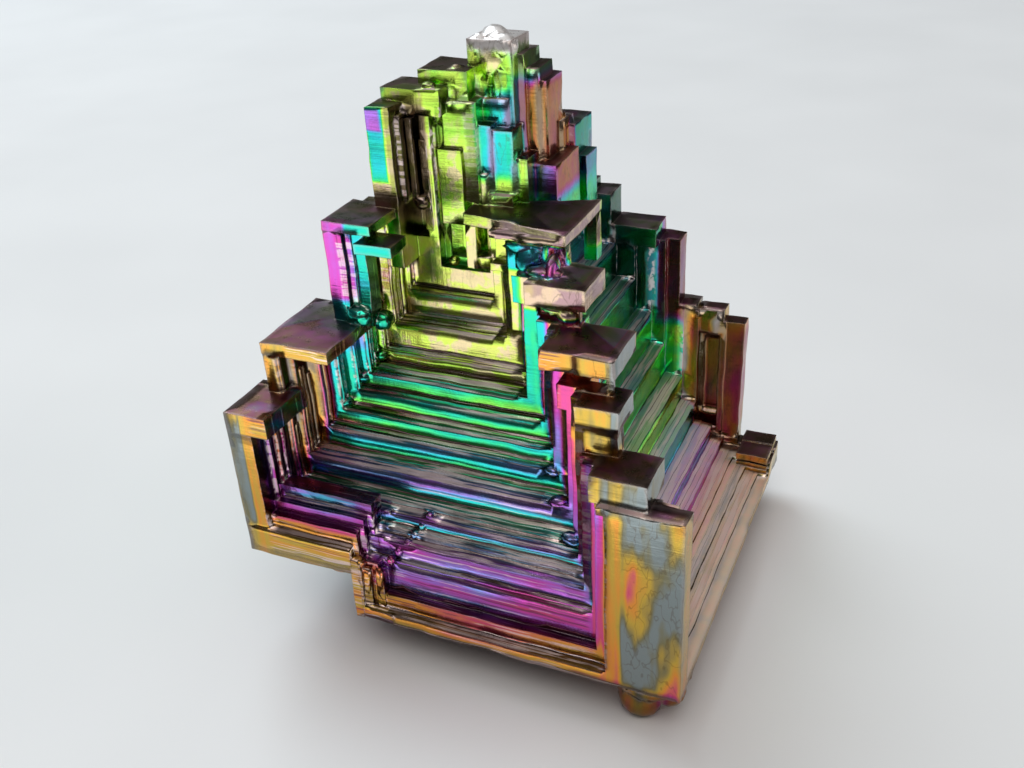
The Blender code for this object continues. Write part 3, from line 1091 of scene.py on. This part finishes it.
    def hairlines(self, film: Socket, colour: Socket, turn: Value) -> Socket:
        """Add the hairlines that run along the steps of the front and right hoppers, with painted highlights
        on edges and treads.

        Args:
            film: The film's colour.
            colour: Colour to add them to.
            turn: How far the finely rounded normal turns away from the flat face.

        Returns:
            The colour.
        """
        point, zones = self.point, self.zones
        along = self.grain((0.10, 1.6, 1.6), 3.0, 0.6)
        along = along.mix(self.grain((1.6, 0.10, 1.6), 3.0, 0.6), zones.right)
        # Painted highlight along the finely rounded edges.
        seam = turn.ramp(0.10, 0.24) * along.ramp(0.46, 0.54)
        colour = self.blend(seam * 0.55 * zones.hollow, colour, self.finish.seam)
        thin = self.grain((0.06, 4.2, 4.2), 2.0, 0.6)
        thin = thin.mix(self.grain((4.2, 0.06, 4.2), 2.0, 0.6), zones.right)
        # Painted highlights along the treads' fine steps.
        level = thin.ramp(0.56, 0.62) * point.up * zones.hollow
        colour = self.blend(level * 0.42, colour, self.blend(0.35, self.finish.painted_step_highlight, film))
        low = point.y.ramp(-13.0, -16.0) * zones.core * (1.0 - point.up) * (1.0 - point.rightward)
        colour = self.blend(thin.ramp(0.44, 0.38) * low * 0.7, colour, self.finish.dark_streak)
        return self.blend(thin.ramp(0.58, 0.62) * low * 0.6, colour, self.finish.pale_streak)

    def outlines(self, colour: Socket, turn: Value) -> Socket:
        """Add dark contours to the ridges' upright faces and painted highlights to their blocks' edges.

        Args:
            colour: Colour to add them to.
            turn: How far the widely rounded normal turns away from the flat face.

        Returns:
            The colour.
        """
        point, zones = self.point, self.zones
        swirls = self.grain((0.42, 0.42, 0.20), 3.0)
        contour = abs(swirls - 0.5).ramp(0.012, 0.004).most(abs(swirls - 0.6).ramp(0.010, 0.003))
        contour = contour * (1.0 - zones.front) * (1.0 - point.up)
        colour = self.blend(contour * 0.34, colour, self.finish.outline)
        # Painted highlight on the blocks' widely rounded edges.
        return self.blend(turn.ramp(0.10, 0.26) * (1.0 - zones.hollow) * 0.45, colour, self.finish.painted_edge_sheen)

    def bumped(self, rounded: Socket, coarse: Value, fine: Value) -> Socket:
        """Return the normal with fine growth lines in it.

        Args:
            rounded: Normal with rounded edges.
            coarse: Coarse noise.
            fine: Fine noise.

        Returns:
            The normal.
        """
        lines = [
            self.grain(scales, 3.0, 0.6)
            for scales in ((0.08, 3.2, 3.2), (3.2, 0.08, 3.2), (3.2, 3.2, 0.08))
        ]
        growth = lines[0].mix(lines[1], self.point.sideways).mix(lines[2], 0.35)
        settings = {
            "Strength": 0.5 - 0.36 * self.point.up,
            "Distance": self.finish.relief_depth * MM,
            "Height": growth * 0.5 + fine * 0.12 + coarse * 0.35,
            "Normal": rounded,
        }
        return self.node("ShaderNodeBump", inputs=settings).outputs[0]

    def build(self) -> bpy.types.Material:
        """Build the material.

        Returns:
            The material.
        """
        point, zones = self.point, self.zones
        mottle = self.noise(point.place, 0.55, 3.0, 0.62)
        fine = self.noise(point.place, 3.0, 2.0, 0.6)
        rounded, fine_turn = self.rounding(self.finish.fine_radius, samples=3)
        _, wide_turn = self.rounding(self.finish.wide_radius, samples=2)

        order = self.growth_order()
        # Spots add painted shade: on walls that mirror dark treads, in grooves and on the underside.
        shade = 0.0
        for spot in FILM_SPOTS:
            mask = spot.mask(point)
            order = order.mix(spot.order, mask)
            if spot.shade:
                shade = (mask * spot.shade).most(shade)
        order = self.drifted(order)
        order = (order - 0.10 * wide_turn.ramp(0.0, 0.22) * (1.0 - zones.front)).clamped()

        film = self.tinted(order)
        wall = self.upright(film, shade)
        colour = self.blend(point.up, wall, self.level(film, mottle))
        silver = (point.height + 3.0 * (mottle - 0.5)).ramp(53.4, 54.6)
        colour = self.blend(silver, colour, self.finish.silver)
        colour = self.hairlines(film, colour, fine_turn)
        colour = self.outlines(colour, wide_turn)
        pale = zones.right * point.up
        rough = 0.12 + 0.10 * mottle + 0.22 * point.up * mottle + 0.05 * fine + 0.16 * pale
        metal = 1.0 - 0.62 * pale * zones.hollow * point.x.ramp(9.0, 12.0) - 0.55 * silver
        self.plug(colour, self.surface.inputs["Base Color"])
        self.plug(rough, self.surface.inputs["Roughness"])
        self.plug(metal, self.surface.inputs["Metallic"])
        normal = self.bumped(rounded, mottle, fine)
        self.plug(normal, self.surface.inputs["Normal"])
        return self.material


# --------------------------------------------------------------------------- the crystal


@dataclass(frozen=True)
class Trim:
    """A place where a frame of the front hopper reaches further right."""

    plane: float
    across: Span
    level: Span

    def tool(self) -> Thing:
        """Return the box that clears the place."""
        return add_block("trim", self.across, (-HALF_DEPTH - BEYOND, self.plane), self.level)


TRIMS = (
    Trim(-12.6, (9.4, 10.45), (14.8, 25.9)),
    Trim(-10.1, (7.2, 7.75), (18.8, 26.0)),
    Trim(-9.1, (5.6, 6.2), (20.8, 29.4)),
    Trim(-6.5, (2.8, 3.95), (22.6, 33.2)),
    Trim(-5.3, (2.2, 2.8), (24.0, 33.2)),
    Trim(-2.6, (-1.2, 0.2), (26.9, 34.4)),
)


@dataclass(frozen=True)
class Melt:
    """A rounded lump of melt: name, centre and half-sizes."""

    name: str
    centre: Triple
    size: Triple
    dent: float = 0.10
    smooth_end: float = 0.8     # its top and bottom beyond this share stay round

    def add(self) -> Thing:
        """Add the lump as a dented ball.

        Returns:
            The lump.
        """
        deselect()
        place = Vector(self.centre) + Vector((0.0, 0.0, RISE))
        bpy.ops.mesh.primitive_ico_sphere_add(subdivisions=3, radius=1.0, location=place * MM)
        ball = bpy.context.object
        ball.name = self.name
        ball.scale = Vector(self.size) * MM
        dice = random.Random(self.name)
        for vertex in ball.data.vertices:
            dent = self.dent * dice.uniform(-1.0, 1.0)
            if abs(vertex.co.z) < self.smooth_end:
                vertex.co *= 1.0 + dent
        bpy.ops.object.transform_apply(location=True, rotation=False, scale=True)
        return ball


def fold(steps: int = 6) -> tuple[Melt, ...]:
    """Return the row of lumps that makes the slanted fold above the jog.

    Args:
        steps: Number of lumps.

    Returns:
        The lumps.
    """
    route = ((-7.3, 0.62), (-20.2, 0.66), (7.3, 0.78))
    return tuple(
        Melt(f"fold_{step}", tuple(start + stride * step for start, stride in route), (0.5, 0.5, 0.6))
        for step in range(steps)
    )


MELTS = (
    Melt("top_left", (-4.9, 3.3, 53.9), (1.15, 1.0, 1.5)),
    Melt("top_right", (-2.3, 3.3, 54.1), (1.4, 1.2, 1.4)),
    Melt("top_front", (-3.5, 2.75, 53.2), (1.5, 0.7, 1.9)),
    Melt("top_drip", (-2.9, 2.5, 50.6), (0.45, 0.4, 2.0)),
    Melt("shoulder_drop", (-7.2, 1.2, 51.2), (1.3, 1.1, 0.9)),
    Melt("shoulder_bead", (-8.9, -0.6, 50.9), (0.8, 0.8, 0.6)),
    Melt("right_shoulder", (0.4, 9.6, 45.8), (1.0, 1.0, 0.7)),
    Melt("groove_foot", (-9.9, -2.2, 39.3), (0.8, 0.6, 0.6)),
    Melt("pool_bead", (-7.1, -1.5, 33.1), (0.6, 0.5, 0.6)),
    Melt("third_foot", (-14.6, -9.2, 29.2), (1.7, 1.3, 1.2)),
    Melt("third_foot_low", (-12.9, -7.6, 28.1), (1.2, 1.1, 1.1)),
    Melt("diagonal_high", (-14.2, -6.3, 23.3), (1.0, 1.2, 0.7)),
    Melt("diagonal_mid", (-15.3, -8.4, 21.6), (1.1, 1.3, 0.8)),
    Melt("diagonal_low", (-17.0, -10.3, 19.0), (0.9, 0.9, 0.7)),
    Melt("diagonal_foot", (-18.9, -11.9, 16.9), (0.8, 0.8, 0.7)),
    Melt("inner_right_1", (7.7, -12.2, 16.7), (0.9, 0.8, 0.6)),
    Melt("inner_right_2", (9.2, -14.3, 14.7), (1.1, 0.9, 0.6)),
    Melt("inner_right_3", (11.2, -16.2, 12.0), (1.2, 0.8, 0.6)),
    Melt("jog_top", (-10.9, -21.2, 6.9), (1.0, 0.65, 0.8)),
    Melt("jog_post", (-9.9, -21.3, 4.6), (0.55, 0.55, 1.5)),
    Melt("jog_drop", (-8.5, -21.0, 5.2), (0.6, 0.6, 1.3)),
    Melt("rim_left_1", (-17.5, -21.3, 5.7), (1.7, 0.6, 0.45)),
    Melt("rim_left_2", (-13.2, -21.2, 5.5), (1.1, 0.6, 0.5)),
    Melt("rim_left_3", (-22.6, -20.9, 6.4), (0.9, 0.8, 0.9)),
    Melt("rim_right_1", (-6.4, -21.3, 0.1), (2.0, 0.6, 0.45)),
    Melt("rim_right_2", (0.8, -21.35, 0.0), (2.8, 0.55, 0.4)),
    Melt("rim_right_3", (8.2, -21.35, 0.1), (2.2, 0.55, 0.5)),
    Melt("rim_right_4", (13.8, -21.3, 0.2), (1.8, 0.6, 0.6)),
    Melt("corner_foot", (19.9, -20.4, -0.6), (2.6, 1.5, 1.1)),
    Melt("corner_drop", (23.0, -19.6, -0.4), (0.9, 1.2, 1.3)),
    Melt("second_neck", (14.2, -15.3, 25.7), (0.8, 1.5, 0.8)),
    Melt("third_neck", (11.6, -12.2, 29.6), (1.5, 1.3, 0.8)),
    Melt("fourth_neck", (7.6, -9.0, 33.2), (1.7, 1.3, 0.7)),
    Melt("wide_cap_drip", (5.3, -5.2, 36.6), (0.9, 0.7, 1.6)),
    Melt("wide_cap_melt", (2.9, -4.9, 37.1), (2.6, 0.8, 0.9)),
    Melt("wide_cap_foot", (5.9, -7.7, 36.0), (1.9, 1.2, 0.6)),
    *fold(),
)

# Ribs on the walls of rings whose near end lies left of the first number reach the second.
RIB_CEILINGS = ((-17.2, 26.0), (-14.0, 37.5), (-9.0, 43.0))


@dataclass(frozen=True)
class Crystal:
    """The whole crystal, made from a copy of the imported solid."""

    hoppers: tuple[Hopper, ...] = HOPPERS
    finish: OxideFilm = OxideFilm()
    grid: float = 1.25
    grid_shift: float = 0.037       # keeps the dividing planes off the blocks' own faces
    ripple: float = 0.16
    ripple_size: float = 3.2
    rib_spacing: float = 0.8
    smooth_angle: float = 24.0

    @staticmethod
    def copy_of_node() -> Thing:
        """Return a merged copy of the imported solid's mesh."""
        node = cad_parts[NODE]
        body = bpy.data.objects.new("grown_crystal", node.data.copy())
        bpy.context.scene.collection.objects.link(body)
        pick(body)
        bpy.ops.object.mode_set(mode="EDIT")
        bpy.ops.mesh.select_all(action="SELECT")
        bpy.ops.mesh.remove_doubles(threshold=1e-7)
        bpy.ops.mesh.dissolve_limited(angle_limit=math.radians(0.5))
        bpy.ops.object.mode_set(mode="OBJECT")
        return body

    def grow_steps(self, body: Thing) -> None:
        """Sink the fine steps of every hopper.

        Args:
            body: Mesh to cut.
        """
        tools = [tool for hopper in self.hoppers for tool in hopper.fine_tools()]
        tools += [trim.tool() for trim in TRIMS]
        LOG.info("%d fine steps", len(tools))
        combine(body, join(tools, "fine_steps"), "DIFFERENCE")

    def ribs(self) -> list[Thing]:
        """Return thin ribs on the front hopper's walls that face right.

        Returns:
            One or more ribs for each frame.
        """
        dice = random.Random(19)
        ribs = []
        for outer, inner in zip(FRONT_RINGS, FRONT_RINGS[1:]):
            ceilings = [top for limit, top in RIB_CEILINGS if inner.near < limit]
            if not ceilings:
                continue
            run = inner.plane - outer.plane
            count = 1 + int(run / self.rib_spacing)
            for number in range(count):
                start = outer.plane + (number + dice.uniform(0.1, 0.6)) / count * run
                y = (start, start + dice.uniform(0.14, 0.3))
                x = (inner.near - 0.4, inner.near + dice.uniform(0.12, 0.3))
                top = min(ceilings[0], inner.floor + dice.uniform(5.0, 14.0))
                ribs.append(add_block("rib", x, y, (inner.floor - 0.2, top)))
        return ribs

    def add_growths(self, body: Thing) -> None:
        """Add the lumps of melt and the thin ribs.

        Args:
            body: Mesh to add to.
        """
        pieces = [melt.add() for melt in MELTS] + self.ribs()
        combine(body, join(pieces, "growths"), "UNION")

    def divide(self, body: Thing) -> None:
        """Divide the faces by planes a fixed distance apart, so that they can ripple.

        Args:
            body: Mesh to divide.
        """
        low, high = (-HALF_WIDTH, -HALF_DEPTH, 0.0), (HALF_WIDTH, HALF_DEPTH, GRID_TOP)
        pick(body)
        bpy.ops.object.mode_set(mode="EDIT")
        for axis in range(3):
            normal = Vector([float(axis == other) for other in range(3)])
            count = int((high[axis] - low[axis]) / self.grid)
            for number in range(1, count + 1):
                place = normal * ((low[axis] + self.grid * number + self.grid_shift) * MM)
                bpy.ops.mesh.select_all(action="SELECT")
                bpy.ops.mesh.bisect(plane_co=place, plane_no=normal)
        bpy.ops.mesh.select_all(action="SELECT")
        bpy.ops.mesh.quads_convert_to_tris()
        bpy.ops.object.mode_set(mode="OBJECT")

    def melt(self, body: Thing) -> None:
        """Let the faces and edges wander a little.

        Args:
            body: Mesh to change.
        """
        clouds = bpy.data.textures.new("melt", "CLOUDS")
        clouds.noise_scale = self.ripple_size * MM
        clouds.noise_depth = 2
        clouds.cloud_type = "COLOR"
        pick(body)
        modifier = body.modifiers.new("melt", "DISPLACE")
        modifier.texture = clouds
        modifier.texture_coords = "LOCAL"
        modifier.direction = "RGB_TO_XYZ"
        modifier.mid_level = 0.5
        modifier.strength = self.ripple * 2.0 * MM
        bpy.ops.object.modifier_apply(modifier=modifier.name)

    @staticmethod
    def hold_in_box(body: Thing) -> None:
        """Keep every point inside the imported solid's box.

        Args:
            body: Mesh to hold.
        """
        low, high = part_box(NODE)
        for vertex in body.data.vertices:
            for axis in range(3):
                vertex.co[axis] = min(max(vertex.co[axis], low[axis]), high[axis])

    def build(self) -> Thing:
        """Build, dress and place the crystal.

        Returns:
            The finished piece.
        """
        body = self.copy_of_node()
        self.grow_steps(body)
        self.add_growths(body)
        self.divide(body)
        self.melt(body)
        self.hold_in_box(body)
        bpy.ops.object.shade_smooth_by_angle(angle=math.radians(self.smooth_angle))
        body.data.materials.clear()
        body.data.materials.append(self.finish.build())
        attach(body, "root")
        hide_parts(NODE)
        return body


# --------------------------------------------------------------------------- studio


@dataclass(frozen=True)
class Lamp:
    """A rectangular soft lamp: place, the point it faces and size in metres, power in watts."""

    name: str
    place: Triple
    aim: Triple
    size: Span
    power: float
    colour: Triple

    def add(self) -> None:
        """Hang the lamp."""
        data = bpy.data.lights.new(self.name, "AREA")
        data.shape = "RECTANGLE"
        data.size, data.size_y = self.size
        data.energy = self.power
        data.color = self.colour
        lamp = bpy.data.objects.new(self.name, data)
        bpy.context.scene.collection.objects.link(lamp)
        place = Vector(self.place)
        turn = (Vector(self.aim) - place).to_track_quat("-Z", "Y")
        lamp.matrix_world = Matrix.Translation(place) @ turn.to_matrix().to_4x4()


MIDDLE = (0.0, 0.0, 0.02)
LAMPS = (
    Lamp("window", (-0.55, 0.35, 0.75), MIDDLE, (0.6, 0.6), 5.6, (0.84, 0.95, 1.0)),
    Lamp("ceiling", (0.15, -0.45, 0.8), MIDDLE, (0.7, 0.5), 1.5, (1.0, 0.91, 0.82)),
    Lamp("right_fill", (0.75, 0.25, 0.30), MIDDLE, (0.4, 0.5), 0.8, (1.0, 0.93, 0.85)),
    # A soft light on the table in front, which the upright faces mirror.
    Lamp("front_card", (0.0, -0.115, 0.001), (0.0, -0.115, 1.001), (0.22, 0.13), 0.075, (0.97, 0.98, 1.0)),
)
# The room's brightness, from straight below to straight above.
ROOM_TINTS = (
    (0.0, (0.45, 0.45, 0.46)),
    (0.12, (0.05, 0.045, 0.045)),
    (0.62, (0.08, 0.075, 0.075)),
    (1.0, (1.0, 1.0, 1.0)),
)


@dataclass(frozen=True)
class Studio:
    """Pale table top, soft window light and the camera.  Angles are degrees."""

    camera_place: Triple = (43.16, -95.68, 83.15)
    azimuth: float = 25.27
    elevation: float = 29.78
    roll: float = 3.33
    lens: float = 38.6
    sensor: float = 36.0
    table_size: float = 1.6
    table_tints: tuple[tuple[float, Triple], ...] = ((0.3, (0.80, 0.80, 0.81)), (0.7, (0.86, 0.86, 0.87)))

    def add_camera(self) -> None:
        """Place the camera."""
        data = bpy.data.cameras.new("camera")
        data.lens = self.lens
        data.sensor_width = self.sensor
        data.clip_start = 0.002
        camera = bpy.data.objects.new("camera", data)
        bpy.context.scene.collection.objects.link(camera)
        turn = Matrix.Rotation(math.radians(self.azimuth), 4, "Z")
        tilt = Matrix.Rotation(math.radians(90.0 - self.elevation), 4, "X")
        roll = Matrix.Rotation(-math.radians(self.roll), 4, "Z")
        place = Matrix.Translation(Vector(self.camera_place) * MM)
        camera.matrix_world = place @ turn @ tilt @ roll
        bpy.context.scene.camera = camera

    def add_table(self) -> None:
        """Lay the pale table top."""
        deselect()
        bpy.ops.mesh.primitive_plane_add(size=self.table_size, location=(0.0, 0.0, 0.0))
        table = bpy.context.object
        table.name = "table"
        shader = Shader("table_top")
        cloud = shader.noise(shader.point.place, 0.02, 2.0)
        shader.plug(shader.tint(cloud, self.table_tints), shader.surface.inputs["Base Color"])
        shader.surface.inputs["Roughness"].default_value = 0.55
        shader.surface.inputs["Specular IOR Level"].default_value = 0.3
        table.data.materials.append(shader.material)
        table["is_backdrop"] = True

    @staticmethod
    def add_room() -> None:
        """Surround the table with a dim room that is bright overhead."""
        world = bpy.data.worlds.new("room")
        bpy.context.scene.world = world
        world.use_nodes = True
        tree = world.node_tree
        background = tree.nodes["Background"]
        place = tree.nodes.new("ShaderNodeTexCoord")
        parts = tree.nodes.new("ShaderNodeSeparateXYZ")
        ramp = tree.nodes.new("ShaderNodeValToRGB")
        fill_ramp(ramp.color_ramp, ROOM_TINTS)
        tree.links.new(place.outputs["Generated"], parts.inputs[0])
        tree.links.new(parts.outputs[2], ramp.inputs[0])
        tree.links.new(ramp.outputs[0], background.inputs[0])

    def build(self) -> None:
        """Set up the camera, the table and the lights."""
        self.add_camera()
        self.add_table()
        self.add_room()
        for lamp in LAMPS:
            lamp.add()
        bpy.context.scene.view_settings.view_transform = "Standard"


def main() -> None:
    """Build the crystal and the studio, and log the crystal's face count."""
    logging.basicConfig(level=logging.INFO, format="%(name)s: %(message)s")
    crystal = Crystal().build()
    LOG.info("%s: %d faces", crystal.name, len(crystal.data.polygons))
    Studio().build()
    LOG.info("studio ready")
    boxes = [[list(corner) for corner in box] for box in (CAD_BOX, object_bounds())]


if __name__ == "__main__":
    main()
